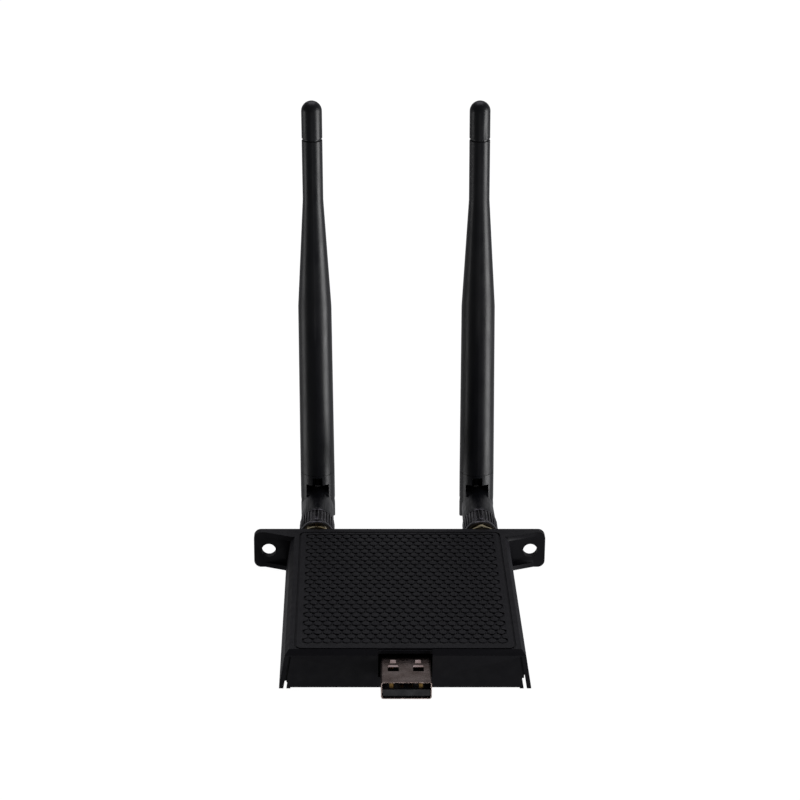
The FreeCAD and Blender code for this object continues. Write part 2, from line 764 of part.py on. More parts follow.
def end_cap(side):
    """Domed plug for the sleeve's tip, standing off it by a fine groove."""
    x = side * connector_x
    spigot = x + tip_radius - sleeve_wall - hair
    groove_floor = x + tip_radius - tip_groove_depth
    rim = x + tip_radius
    dome_start = cap_end_z - tip_radius
    slant = tip_radius * math.sqrt(0.5)
    start = Vector(x, hinge_y, sleeve_end_z - cap_spigot_length)
    corners = [start, Vector(spigot, hinge_y, start.z), Vector(spigot, hinge_y, sleeve_end_z),
               Vector(groove_floor, hinge_y, sleeve_end_z), Vector(groove_floor, hinge_y, cap_start_z),
               Vector(rim, hinge_y, cap_start_z), Vector(rim, hinge_y, dome_start)]
    edges = [Part.makeLine(first, second) for first, second in zip(corners, corners[1:])]
    top = Vector(x, hinge_y, cap_end_z)
    edges.append(Part.Arc(corners[-1], Vector(x + slant, hinge_y, dome_start + slant), top).toShape())
    edges.append(Part.makeLine(top, start))
    return Part.Face(Part.Wire(edges)).revolve(Vector(x, hinge_y, 0), Vector(0, 0, 1), 360)


def blade_cable(side):
    start = connector_z + tongue_radius + sink
    return post(feed_radius, side * connector_x, hinge_y, start, radiator_middle - overrun)


def radiator_sleeve(side):
    """Brass tube round the cable, the lower half of the dipole."""
    x = side * connector_x
    tube = post(radiator_radius, x, hinge_y, radiator_bottom, radiator_middle)
    hollow = post(radiator_radius - radiator_wall, x, hinge_y, radiator_bottom, radiator_middle - overrun)
    whip_hole = post(whip_radius, x, hinge_y, radiator_bottom, radiator_middle)
    return tube.cut([hollow, whip_hole])


def radiator_whip(side):
    """Wire above the tube, the upper half of the dipole."""
    return post(whip_radius, side * connector_x, hinge_y, radiator_middle - overrun, radiator_top)


single_pieces = {
    "upper_housing": upper_housing,
    "bottom_cover": bottom_cover,
    "case_screws": case_screws,
    "circuit_board": circuit_board,
    "usb_shell": usb_shell,
    "usb_insulator": usb_insulator,
    "usb_contacts": usb_contacts,
    "rf_shield": rf_shield,
    "chip_capacitors": chip_capacitors,
}
paired_pieces = {
    "coax_socket": coax_socket,
    "coax_clip": coax_clip,
    "coax_pigtail": coax_pigtail,
    "jack_shell": jack_shell,
    "jack_insulator": jack_insulator,
    "jack_pin": jack_pin,
    "lock_washer": lock_washer,
    "hex_nut": hex_nut,
    "coupling_nut": coupling_nut,
    "antenna_plug": antenna_plug,
    "plug_insulator": plug_insulator,
    "plug_contact": plug_contact,
}
leaning_pieces = {
    "elbow_arm": elbow_arm,
    "arm_cable": arm_cable,
    "hinge_pins": hinge_pins,
    "antenna_fork": antenna_fork,
    "antenna_sleeve": antenna_sleeve,
    "end_cap": end_cap,
    "blade_cable": blade_cable,
    "radiator_sleeve": radiator_sleeve,
    "radiator_whip": radiator_whip,
}

os.makedirs("parts", exist_ok=True)
for name, make in single_pieces.items():
    save(name, make())
save("wifi_chip", centred_box(wifi_chip_size, 0, shield_y, board_top))
save("crystal", centred_box(crystal_size, crystal_x, shield_y, board_top))
save("voltage_regulator", centred_box(regulator_size, regulator_x, regulator_y, board_top))
for side_name, side_sign in sides.items():
    for name, make in paired_pieces.items():
        save(side_name + "_" + name, make(side_sign))
    swivel_centre = Vector(side_sign * connector_x, 0, connector_z)
    for name, make in leaning_pieces.items():
        save(side_name + "_" + name, make(side_sign).rotated(swivel_centre, Vector(0, 1, 0), antenna_lean))
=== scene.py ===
import json
import math

import bmesh
import bpy
from mathutils import Matrix, Vector


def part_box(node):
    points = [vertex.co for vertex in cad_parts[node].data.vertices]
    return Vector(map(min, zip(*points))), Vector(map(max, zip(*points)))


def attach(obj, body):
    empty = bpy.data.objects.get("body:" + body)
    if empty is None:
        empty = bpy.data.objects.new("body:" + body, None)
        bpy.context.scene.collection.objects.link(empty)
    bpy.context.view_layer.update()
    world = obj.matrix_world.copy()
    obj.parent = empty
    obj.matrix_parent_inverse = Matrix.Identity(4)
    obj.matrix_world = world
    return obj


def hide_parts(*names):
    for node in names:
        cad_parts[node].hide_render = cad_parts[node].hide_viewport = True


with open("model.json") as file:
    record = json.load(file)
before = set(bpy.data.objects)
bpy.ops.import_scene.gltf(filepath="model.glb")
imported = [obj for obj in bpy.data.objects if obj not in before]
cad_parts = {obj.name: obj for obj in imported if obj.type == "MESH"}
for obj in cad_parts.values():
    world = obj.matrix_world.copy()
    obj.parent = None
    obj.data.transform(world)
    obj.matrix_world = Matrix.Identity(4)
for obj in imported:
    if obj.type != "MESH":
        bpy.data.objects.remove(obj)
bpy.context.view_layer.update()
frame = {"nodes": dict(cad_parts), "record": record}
nodes = frame["nodes"]
record = frame["record"]
bodyOf = {node: body for body, members in record["behaviour"]["bodies"].items() for node in members}
slotOf = {part["node"]: part["material_slot"] for part in record["subparts"]}
sides = {"left": -1, "right": 1}
mm = 0.001
print("frame loaded:", len(nodes), "nodes")


def addNode(tree, kind, links=None, **settings):
    node = tree.nodes.new(kind)
    for name, value in settings.items():
        setattr(node, name, value)
    for socket, value in (links or {}).items():
        if isinstance(value, bpy.types.NodeSocket):
            tree.links.new(value, node.inputs[socket])
        else:
            node.inputs[socket].default_value = value
    return node


def hexColour(text):
    channels = [int(text[start:start + 2], 16) / 255 for start in (0, 2, 4)]
    return [c / 12.92 if c <= 0.04045 else ((c + 0.055) / 1.055) ** 2.4 for c in channels] + [1.0]


def newMaterial(name):
    material = bpy.data.materials.new(name)
    material.use_nodes = True
    material.node_tree.nodes.clear()
    return material, material.node_tree


# how far apart the handling marks on plastic lie, in millimetres
rubSize = 2.2


# Moulded plastic: a fine grain from the mould's skin, cloudy colour, and handling marks that only
# change how dull it is. Sizes in millimetres.
def mouldedPlastic(name, colour, cloud, roughness, grain, grainDepth, specular=0.5, ior=1.5, streak=(1, 1, 1),
                   cloudSize=7.0, roughSpread=0.06):
    material, tree = newMaterial(name)
    place = addNode(tree, "ShaderNodeTexCoord").outputs["Object"]
    along = addNode(tree, "ShaderNodeMapping", {"Vector": place, "Scale": streak}).outputs["Vector"]
    clouds = addNode(tree, "ShaderNodeTexNoise", {"Vector": along, "Scale": 1 / (cloudSize * mm), "Detail": 4.0,
                                                  "Roughness": 0.6}).outputs["Fac"]
    tint = addNode(tree, "ShaderNodeMix", {0: clouds, 6: hexColour(colour), 7: hexColour(cloud)},
                   data_type="RGBA").outputs[2]
    skin = addNode(tree, "ShaderNodeTexNoise", {"Vector": place, "Scale": 1 / (grain * mm), "Detail": 3.0,
                                                "Roughness": 0.55}).outputs["Fac"]
    rub = addNode(tree, "ShaderNodeTexNoise", {"Vector": along, "Scale": 1 / (rubSize * mm),
                                               "Detail": 5.0}).outputs["Fac"]
    dull = addNode(tree, "ShaderNodeMapRange", {"Value": rub, "From Min": 0.3, "From Max": 0.7,
                                                "To Min": roughness - roughSpread,
                                                "To Max": roughness + roughSpread}).outputs[0]
    bump = addNode(tree, "ShaderNodeBump", {"Strength": 1.0, "Distance": grainDepth * mm, "Height": skin}).outputs[0]
    shader = addNode(tree, "ShaderNodeBsdfPrincipled", {"Base Color": tint, "Roughness": dull, "IOR": ior,
                                                        "Specular IOR Level": specular, "Normal": bump})
    addNode(tree, "ShaderNodeOutputMaterial", {"Surface": shader.outputs[0]})
    return material


# Plated or bare metal: streaks from rolling or turning, and a faint tarnish in patches.
def workedMetal(name, colour, tarnish, roughness, streak, streakDepth, patch=3.0, spread=0.08, grain=0.12):
    material, tree = newMaterial(name)
    place = addNode(tree, "ShaderNodeTexCoord").outputs["Object"]
    along = addNode(tree, "ShaderNodeMapping", {"Vector": place, "Scale": streak}).outputs["Vector"]
    patches = addNode(tree, "ShaderNodeTexNoise", {"Vector": place, "Scale": 1 / (patch * mm),
                                                   "Detail": 3.0}).outputs["Fac"]
    shade = addNode(tree, "ShaderNodeMapRange", {"Value": patches, "From Min": 0.35, "From Max": 0.7}).outputs[0]
    tint = addNode(tree, "ShaderNodeMix", {0: shade, 6: hexColour(colour), 7: hexColour(tarnish)},
                   data_type="RGBA").outputs[2]
    lines = addNode(tree, "ShaderNodeTexNoise", {"Vector": along, "Scale": 1 / (grain * mm),
                                                 "Detail": 2.0}).outputs["Fac"]
    dull = addNode(tree, "ShaderNodeMapRange", {"Value": lines, "From Min": 0.3, "From Max": 0.7,
                                                "To Min": max(0.05, roughness - spread),
                                                "To Max": roughness + spread}).outputs[0]
    bump = addNode(tree, "ShaderNodeBump", {"Strength": 1.0, "Distance": streakDepth * mm,
                                            "Height": lines}).outputs[0]
    shader = addNode(tree, "ShaderNodeBsdfPrincipled", {"Base Color": tint, "Metallic": 1.0, "Roughness": dull,
                                                        "Normal": bump})
    addNode(tree, "ShaderNodeOutputMaterial", {"Surface": shader.outputs[0]})
    return material


# Circuit board: copper tracks show as paler lines through the solder mask.
def maskedLaminate(name, mask, track):
    material, tree = newMaterial(name)
    place = addNode(tree, "ShaderNodeTexCoord").outputs["Object"]
    tracks = addNode(tree, "ShaderNodeTexBrick", {
        "Vector": place, "Color1": hexColour(mask), "Color2": hexColour(mask), "Mortar": hexColour(track),
        "Scale": 1.0, "Mortar Size": 0.12 * mm, "Brick Width": 3.1 * mm, "Row Height": 0.9 * mm})
    weave = addNode(tree, "ShaderNodeTexNoise", {"Vector": place, "Scale": 1 / (0.5 * mm)}).outputs["Fac"]
    height = addNode(tree, "ShaderNodeMath", {0: tracks.outputs["Fac"], 1: weave}, operation="ADD").outputs[0]
    bump = addNode(tree, "ShaderNodeBump", {"Distance": 0.02 * mm, "Height": height}).outputs[0]
    shader = addNode(tree, "ShaderNodeBsdfPrincipled", {"Base Color": tracks.outputs["Color"], "Roughness": 0.32,
                                                        "IOR": 1.52, "Normal": bump})
    addNode(tree, "ShaderNodeOutputMaterial", {"Surface": shader.outputs[0]})
    return material


finishes = {
    # ABS moulded in a spark-eroded tool: a dead matt black with a violet cast and an even fine grit
    "case_plastic": mouldedPlastic("spark eroded ABS", "15141a", "1b1a21", 0.56, 0.22, 0.02, specular=0.3, ior=1.53),
    # thermoplastic elastomer from a lightly blasted tool: satin, so light makes one soft band down the side
    "antenna_plastic": mouldedPlastic("satin moulded elastomer", "17181d", "1d1e24", 0.36, 0.3, 0.012, specular=0.6,
                                      ior=1.5, streak=(1, 1, 0.35), cloudSize=4.0, roughSpread=0.07),
    # turned brass, black plated: half gloss, the rib crests rubbed a little brighter
    "black_plated_brass": workedMetal("black plated brass", "6e6c70", "454448", 0.3, (1, 0.1, 1), 0.004),
    # nickel over brass on a hex bar: bright, warm, with turning lines round the axis
    "nickel_plated_steel": workedMetal("warm nickel plate", "e6d9b4", "c2ad7c", 0.2, (0.1, 1, 0.1), 0.003),
    # thin gold over nickel: saturated yellow, smooth
    "gold_plated_brass": workedMetal("gold plated brass", "e2b867", "c79a4b", 0.2, (0.1, 1, 0.1), 0.002, patch=2.0),
    # drawn brass tube: dull yellow with long draw lines
    "bare_brass": workedMetal("drawn brass", "c7a25a", "8f7440", 0.34, (1, 1, 0.05), 0.005, patch=4.0),
    # rolled steel sheet, dull nickel plate: warm grey, streaked across the sheet
    "plated_steel": workedMetal("rolled plated sheet", "a0918c", "806f69", 0.27, (0.12, 1, 1), 0.004, patch=2.6),
    # black zinc on cold-headed steel
    "black_screw_steel": workedMetal("black zinc screw", "3d3d40", "28282a", 0.38, (1, 1, 1), 0.004, patch=1.0),
    # glass-filled nylon: grey-black with a slight sheen from fibres at the surface
    "dark_nylon": mouldedPlastic("glass filled nylon", "26282d", "33353a", 0.42, 0.15, 0.01, ior=1.53,
                                 cloudSize=1.5),
    # glass laminate under green solder mask
    "circuit_laminate": maskedLaminate("solder masked laminate", "12402a", "2a6a45"),
    # moulded epoxy: black, finely pitted, laser-dull on top
    "chip_epoxy": mouldedPlastic("moulded epoxy", "161617", "202022", 0.5, 0.08, 0.008, ior=1.55, cloudSize=2.0),
    # fired ceramic: tan and slightly speckled
    "capacitor_ceramic": mouldedPlastic("fired ceramic", "a07a52", "8a6642", 0.45, 0.1, 0.01, ior=1.65, cloudSize=0.6),
    # turned fluoropolymer: milky white, waxy
    "white_ptfe": mouldedPlastic("turned fluoropolymer", "e8e6df", "d9d6cc", 0.4, 0.2, 0.006, ior=1.38, cloudSize=2.0),
    # extruded fluoropolymer jacket: smooth grey-black with faint draw lines
    "coax_jacket": mouldedPlastic("extruded cable jacket", "1d1d1f", "2a2a2d", 0.3, 0.25, 0.01, ior=1.4,
                                  cloudSize=2.0, streak=(1, 0.15, 1)),
}
print("materials made:", len(finishes))


# faces that meet at less than the crease angle are shaded as one surface (degrees); flat ones are joined
creaseAngle = 34
flatAngle = 0.6
weldDistance = 1e-6


def newPiece(name, mesh):
    piece = bpy.data.objects.new(name, mesh)
    bpy.context.scene.collection.objects.link(piece)
    return piece


def bakeModifiers(piece):
    graph = bpy.context.evaluated_depsgraph_get()
    mesh = bpy.data.meshes.new_from_object(piece.evaluated_get(graph))
    piece.modifiers.clear()
    piece.data = mesh


def setSmooth(mesh, angle):
    mesh.shade_smooth()
    mesh.set_sharp_from_angle(angle=math.radians(angle))


def giveTo(piece, node, hides=True):
    # a piece takes its node's body, slot and finish, and may stand in for it
    slot = slotOf[node]
    piece.data.materials.clear()
    piece.data.materials.append(finishes[slot])
    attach(piece, bodyOf[node])
    if hides:
        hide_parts(node)


def keptMesh(shape, name, smoothAngle=None):
    mesh = bpy.data.meshes.new(name)
    shape.to_mesh(mesh)
    shape.free()
    if smoothAngle:
        setSmooth(mesh, smoothAngle)
    return mesh


def ringPoints(shape, along, radius, steps):
    # one ring of points round the Y axis, sizes in mm
    return [shape.verts.new((radius * mm * math.sin(2 * math.pi * step / steps), along * mm,
                             radius * mm * math.cos(2 * math.pi * step / steps))) for step in range(steps)]


def joinRings(shape, rings):
    # faces from each ring to the next, and from the last back to the first
    for ring, after in zip(rings, rings[1:] + rings[:1]):
        for step in range(len(ring)):
            beside = (step + 1) % len(ring)
            shape.faces.new((ring[step], ring[beside], after[beside], after[step]))


def mergedMesh(node, name):
    shape = bmesh.new()
    shape.from_mesh(nodes[node].data)
    bmesh.ops.remove_doubles(shape, verts=shape.verts, dist=weldDistance)
    bmesh.ops.dissolve_limit(shape, angle_limit=math.radians(flatAngle), verts=shape.verts, edges=shape.edges)
    return keptMesh(shape, name)


def addBevel(piece, width, segments=2):
    bevel = piece.modifiers.new("softEdges", "BEVEL")
    bevel.width = width * mm
    bevel.segments = segments
    bevel.limit_method = "ANGLE"
    bevel.angle_limit = math.radians(creaseAngle)
    bevel.use_clamp_overlap = True
    bevel.harden_normals = True


def softened(node, width, segments=2):
    piece = newPiece(node + ".soft", mergedMesh(node, node + ".soft"))
    setSmooth(piece.data, creaseAngle)
    addBevel(piece, width, segments)
    bakeModifiers(piece)
    giveTo(piece, node)
    return piece


def latheMesh(name, profile, turns):
    # profile is (place along the axis, radius) pairs in mm; the axis runs along Y through the origin
    shape = bmesh.new()
    joinRings(shape, [ringPoints(shape, along, radius, turns) for along, radius in profile])
    bmesh.ops.remove_doubles(shape, verts=shape.verts, dist=weldDistance / 10)
    bmesh.ops.recalc_face_normals(shape, faces=shape.faces)
    return keptMesh(shape, name)


# Repeats a part on a staggered field: full rows with a shorter row between each pair
fieldTree = bpy.data.node_groups.new("staggeredField", "GeometryNodeTree")
for label, kind in (("Part", "NodeSocketObject"), ("Columns", "NodeSocketInt"), ("Rows", "NodeSocketInt"),
                    ("Column pitch", "NodeSocketFloat"), ("Row pitch", "NodeSocketFloat"),
                    ("Height", "NodeSocketFloat"), ("Finish", "NodeSocketMaterial")):
    fieldTree.interface.new_socket(label, in_out="INPUT", socket_type=kind)
fieldTree.interface.new_socket("Geometry", in_out="OUTPUT", socket_type="NodeSocketGeometry")


def fieldLayout(tree):
    given = addNode(tree, "NodeGroupInput").outputs
    part = addNode(tree, "GeometryNodeObjectInfo", {"Object": given["Part"]}).outputs["Geometry"]
    doublePitch = addNode(tree, "ShaderNodeMath", {0: given["Row pitch"], 1: 2.0}, operation="MULTIPLY").outputs[0]
    grids = []
    for fewer in (0, 1):
        columns = addNode(tree, "ShaderNodeMath", {0: given["Columns"], 1: float(fewer)},
                          operation="SUBTRACT").outputs[0]
        rows = addNode(tree, "ShaderNodeMath", {0: given["Rows"], 1: float(fewer)}, operation="SUBTRACT").outputs[0]
        gaps = addNode(tree, "ShaderNodeMath", {0: columns, 1: 1.0}, operation="SUBTRACT").outputs[0]
        rowGaps = addNode(tree, "ShaderNodeMath", {0: rows, 1: 1.0}, operation="SUBTRACT").outputs[0]
        wide = addNode(tree, "ShaderNodeMath", {0: gaps, 1: given["Column pitch"]}, operation="MULTIPLY").outputs[0]
        deep = addNode(tree, "ShaderNodeMath", {0: rowGaps, 1: doublePitch}, operation="MULTIPLY").outputs[0]
        grids.append(addNode(tree, "GeometryNodeMeshGrid", {"Size X": wide, "Size Y": deep, "Vertices X": columns,
                                                            "Vertices Y": rows}).outputs["Mesh"])
    both = addNode(tree, "GeometryNodeJoinGeometry")
    for grid in grids:
        tree.links.new(grid, both.inputs[0])
    lift = addNode(tree, "ShaderNodeCombineXYZ", {"Z": given["Height"]}).outputs[0]
    raised = addNode(tree, "GeometryNodeTransform", {"Geometry": both.outputs[0], "Translation": lift}).outputs[0]
    spread = addNode(tree, "GeometryNodeInstanceOnPoints", {"Points": raised, "Instance": part}).outputs[0]
    real = addNode(tree, "GeometryNodeRealizeInstances", {"Geometry": spread}).outputs[0]
    dressed = addNode(tree, "GeometryNodeSetMaterial", {"Geometry": real, "Material": given["Finish"]}).outputs[0]
    addNode(tree, "NodeGroupOutput", {"Geometry": dressed})


fieldLayout(fieldTree)

# Repeats a part round the Y axis, leaving out some places at a regular step
ringTree = bpy.data.node_groups.new("ringOfParts", "GeometryNodeTree")
for label, kind in (("Part", "NodeSocketObject"), ("Count", "NodeSocketInt"), ("Group", "NodeSocketInt"),
                    ("Left out", "NodeSocketInt"), ("Start", "NodeSocketFloat"), ("Finish", "NodeSocketMaterial")):
    ringTree.interface.new_socket(label, in_out="INPUT", socket_type=kind)
ringTree.interface.new_socket("Geometry", in_out="OUTPUT", socket_type="NodeSocketGeometry")


def ringLayout(tree):
    given = addNode(tree, "NodeGroupInput").outputs
    part = addNode(tree, "GeometryNodeObjectInfo", {"Object": given["Part"]}).outputs["Geometry"]
    points = addNode(tree, "GeometryNodeMeshLine", {"Count": given["Count"],
                                                    "Offset": (0.0, 0.0, 0.0)}).outputs["Mesh"]
    index = addNode(tree, "GeometryNodeInputIndex").outputs[0]
    share = addNode(tree, "ShaderNodeMath", {0: index, 1: given["Count"]}, operation="DIVIDE").outputs[0]
    turn = addNode(tree, "ShaderNodeMath", {0: share, 1: 2 * math.pi, 2: given["Start"]},
                   operation="MULTIPLY_ADD").outputs[0]
    about = addNode(tree, "ShaderNodeCombineXYZ", {"Y": turn}).outputs[0]
    inGroup = addNode(tree, "ShaderNodeMath", {0: index, 1: given["Group"]}, operation="MODULO").outputs[0]
    limit = addNode(tree, "ShaderNodeMath", {0: given["Left out"], 1: 0.5}, operation="SUBTRACT").outputs[0]
    kept = addNode(tree, "FunctionNodeCompare", {0: inGroup, 1: limit}, operation="GREATER_THAN").outputs[0]
    spread = addNode(tree, "GeometryNodeInstanceOnPoints", {"Points": points, "Instance": part, "Rotation": about,
                                                            "Selection": kept}).outputs[0]
    real = addNode(tree, "GeometryNodeRealizeInstances", {"Geometry": spread}).outputs[0]
    dressed = addNode(tree, "GeometryNodeSetMaterial", {"Geometry": real, "Material": given["Finish"]}).outputs[0]
    addNode(tree, "NodeGroupOutput", {"Geometry": dressed})


ringLayout(ringTree)


def grown(name, tree, values):
    # runs a node tree with the given named inputs and keeps the result as a plain mesh
    piece = newPiece(name, bpy.data.meshes.new(name))
    modifier = piece.modifiers.new(name, "NODES")
    modifier.node_group = tree
    for item in tree.interface.items_tree:
        if item.in_out == "INPUT" and item.name in values:
            modifier[item.identifier] = values[item.name]
    bakeModifiers(piece)
    return piece


# Case: bevelled moulding with a honeycomb field of low nubs let into its top
caseLow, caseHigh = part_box("upper_housing")
field = {"columnPitch": 2.35, "rowPitch": 2.325, "columns": 21, "fullRows": 14, "groove": 0.38, "depth": 0.36,
         "centreY": 0.05, "edge": 0.08, "cornerCut": 0.3, "shoulder": ((1.0, -0.09), (0.965, -0.02), (0.9, 0.0)),
         "nubRoot": 0.02}
topZ = caseHigh.z / mm


def cellCentres():
    centres = []
    for row in range(2 * field["fullRows"] - 1):
        shorter = row % 2
        count = field["columns"] - shorter
        for column in range(count):
            x = (column - (count - 1) / 2) * field["columnPitch"]
            centres.append((x, (row - field["fullRows"] + 1) * field["rowPitch"]))
    return centres


def cellCorners():
    # the six corners where three neighbouring cells of the staggered field meet
    half = field["columnPitch"] / 2
    reach = (half ** 2 + field["rowPitch"] ** 2) / (2 * field["rowPitch"])
    side = reach - half ** 2 / field["rowPitch"]
    return [(0, reach), (-half, side), (-half, -side), (0, -reach), (half, -side), (half, side)]


def fieldOutline():
    # outer edge of all the cells together, moved outwards by half a groove
    edges = {}
    for x, y in cellCentres():
        points = [(round(x + cx, 4), round(y + cy, 4)) for cx, cy in cellCorners()]
        for start, end in zip(points, points[1:] + points[:1]):
            if (end, start) in edges:
                del edges[(end, start)]
            else:
                edges[(start, end)] = True
    following = {start: end for start, end in edges}
    loop = [next(iter(following))]
    while following[loop[-1]] != loop[0]:
        loop.append(following[loop[-1]])
    grow = field["groove"] / 2
    outline = []
    for before, point, after in zip(loop[-1:] + loop[:-1], loop, loop[1:] + loop[:1]):
        into = (Vector(point) - Vector(before)).normalized()
        out = (Vector(after) - Vector(point)).normalized()
        normals = Vector((into.y, -into.x)) + Vector((out.y, -out.x))
        outline.append(Vector(point) + normals * grow / (1 + into.dot(out)))
    return outline


def fieldCutter():
    shape = bmesh.new()
    floor = [shape.verts.new((p.x * mm, (p.y + field["centreY"]) * mm, (topZ - field["depth"]) * mm))
             for p in fieldOutline()]
    face = shape.faces.new(floor)
    raised = bmesh.ops.extrude_face_region(shape, geom=[face])["geom"]
    bmesh.ops.translate(shape, vec=(0, 0, 2 * field["depth"] * mm),
                        verts=[v for v in raised if isinstance(v, bmesh.types.BMVert)])
    bmesh.ops.recalc_face_normals(shape, faces=shape.faces)
    return newPiece("fieldCutter", keptMesh(shape, "fieldCutter"))


housing = newPiece("housing", mergedMesh("upper_housing", "housing"))
setSmooth(housing.data, creaseAngle)
cutter = fieldCutter()
cut = housing.modifiers.new("field", "BOOLEAN")
cut.operation = "DIFFERENCE"
cut.solver = "EXACT"
cut.object = cutter
addBevel(housing, field["edge"], 2)
bakeModifiers(housing)
bpy.data.objects.remove(cutter)
giveTo(housing, "upper_housing")
print("case:", len(housing.data.polygons), "faces")


def nubMesh():
    # six-sided nub with cut corners: a wall, a tight shoulder and a flat top
    inset = 1 - field["groove"] / field["columnPitch"]
    corners = [Vector(c) * inset for c in cellCorners()]
    outline = []
    for before, corner, after in zip(corners[-1:] + corners[:-1], corners, corners[1:] + corners[:1]):
        outline.append(corner.lerp(before, field["cornerCut"]))
        outline.append(corner.lerp(after, field["cornerCut"]))
    levels = ((1.0, -field["depth"] - field["nubRoot"]),) + field["shoulder"]
    shape = bmesh.new()
    rings = [[shape.verts.new((p.x * size * mm, p.y * size * mm, z * mm)) for p in outline] for size, z in levels]
    for ring, after in zip(rings, rings[1:]):
        for step in range(len(ring)):
            beside = (step + 1) % len(ring)
            shape.faces.new((ring[step], ring[beside], after[beside], after[step]))
    shape.faces.new(rings[-1])
    shape.faces.new(reversed(rings[0]))
    bmesh.ops.recalc_face_normals(shape, faces=shape.faces)
    return keptMesh(shape, "nub", 50)


nub = newPiece("nub", nubMesh())
nubs = grown("topNubs", fieldTree, {"Part": nub, "Columns": field["columns"], "Rows": field["fullRows"],
                                    "Column pitch": field["columnPitch"] * mm, "Row pitch": field["rowPitch"] * mm,
                                    "Height": topZ * mm, "Finish": finishes["case_plastic"]})
nubs.data.transform(Matrix.Translation((0, field["centreY"] * mm, 0)))
bpy.data.objects.remove(nub)
giveTo(nubs, "upper_housing", hides=False)
print("top field:", len(nubs.data.polygons), "faces")

# USB plug: folded sheet with its cut rim rounded, and two pressed-in tabs behind the windows
plug = {"rim": 0.12, "tongueEdge": 0.08, "contactEdge": 0.03, "sheet": 0.12, "sink": 0.03,
        "pressings": ({"name": "tab", "x": 3.0, "front": -37.9, "width": 1.75, "length": 1.5, "rise": 0.42},
                      {"name": "lip", "x": 3.0, "front": -39.62, "width": 2.8, "length": 0.7, "rise": 0.2})}
softened("usb_shell", plug["rim"], 3)
softened("usb_insulator", plug["tongueEdge"])
softened("usb_contacts", plug["contactEdge"])
plugLow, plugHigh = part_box("usb_shell")


def pressingMesh(name, x, shape):
    # pressed sheet: it slopes up from its front edge and drops off quickly at its back
    half = shape["width"] / 2
    rows = ((0, 0.0), (0.1, 0.14), (0.72, 0.94), (0.82, 1.0), (0.92, 0.85), (1.0, 0.0))
    columns = ((-1, 0.0), (-0.92, 0.75), (-0.75, 1.0), (0, 1.0), (0.75, 1.0), (0.92, 0.75), (1, 0.0))
    vertices = [((x + across * half) * mm, (shape["front"] + run * shape["length"]) * mm,
                 plugHigh.z + (rise * edge * shape["rise"] - plug["sink"]) * mm)
                for run, rise in rows for across, edge in columns]
    wide = len(columns)
    faces = [(row * wide + step, row * wide + step + 1, (row + 1) * wide + step + 1, (row + 1) * wide + step)
             for row in range(len(rows) - 1) for step in range(wide - 1)]
    mesh = bpy.data.meshes.new(name)
    mesh.from_pydata(vertices, [], faces)
    mesh.shade_smooth()
    return mesh


for label, side in sides.items():
    for shape in plug["pressings"]:
        name = label + "." + shape["name"]
        pressing = newPiece(name, pressingMesh(name, side * shape["x"], shape))
        thicken = pressing.modifiers.new("sheet", "SOLIDIFY")
        thicken.thickness = plug["sheet"] * mm
        thicken.offset = -1.0
        bakeModifiers(pressing)
        giveTo(pressing, "usb_shell", hides=False)
print("plug made")

# Coupling nuts: smooth rings at both ends, ribs between them, and a plain land at every quarter
nut = {"root": 4.45, "crest": 4.8, "ribs": 32, "group": 8, "leftOut": 2, "ribWidth": 0.5, "frontRing": 1.5,
       "backRing": 0.75, "ringCrest": 4.72, "bore": 3.25, "lip": 2.65, "lipDepth": 2.0, "turns": 96,
       "ribSink": 0.02, "landDrop": 0.03, "ribEnd": 0.12, "ribSoft": 0.3, "turned": 0.03}
nutLow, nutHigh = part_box("left_coupling_nut")
nutLength = (nutHigh.y - nutLow.y) / mm
nutZ = (nutLow.z + nutHigh.z) / 2


def ribMesh(name, width, radiusIn, radiusOut, start, end, soft, steps):
    # a bar along Y on top of the nut, wrapped round the axis, with its ends and edges rounded
    flank = [(-1.0, 0.0), (-0.92, 0.55), (-0.7, 0.9)]
    crest = [(-0.5 + step / (steps - 1), 1.0) for step in range(steps)]
    profile = flank + crest + [(-across, high) for across, high in reversed(flank)]
    stations = ((start, 0.0, 1.0), (start + soft * 0.3, 0.75, 1.0), (start + soft, 1.0, 1.0),
                (end - soft, 1.0, 1.0), (end - soft * 0.3, 0.75, 1.0), (end, 0.0, 1.0))
    shape = bmesh.new()
    rings = []
    for along, rise, size in stations:
        ring = []
        for across, high in profile:
            radius = (radiusIn + (radiusOut - radiusIn) * high * rise) * mm
            angle = across * size * width / 2 / radiusOut
            ring.append(shape.verts.new((radius * math.sin(angle), along * mm, radius * math.cos(angle))))
        rings.append(ring)
    for ring, after in zip(rings, rings[1:]):
        for step in range(len(ring) - 1):
            shape.faces.new((ring[step], after[step], after[step + 1], ring[step + 1]))
    bmesh.ops.recalc_face_normals(shape, faces=shape.faces)
    if sum((face.normal.z for face in shape.faces)) < 0:
        bmesh.ops.reverse_faces(shape, faces=shape.faces)
    return keptMesh(shape, name, 40)


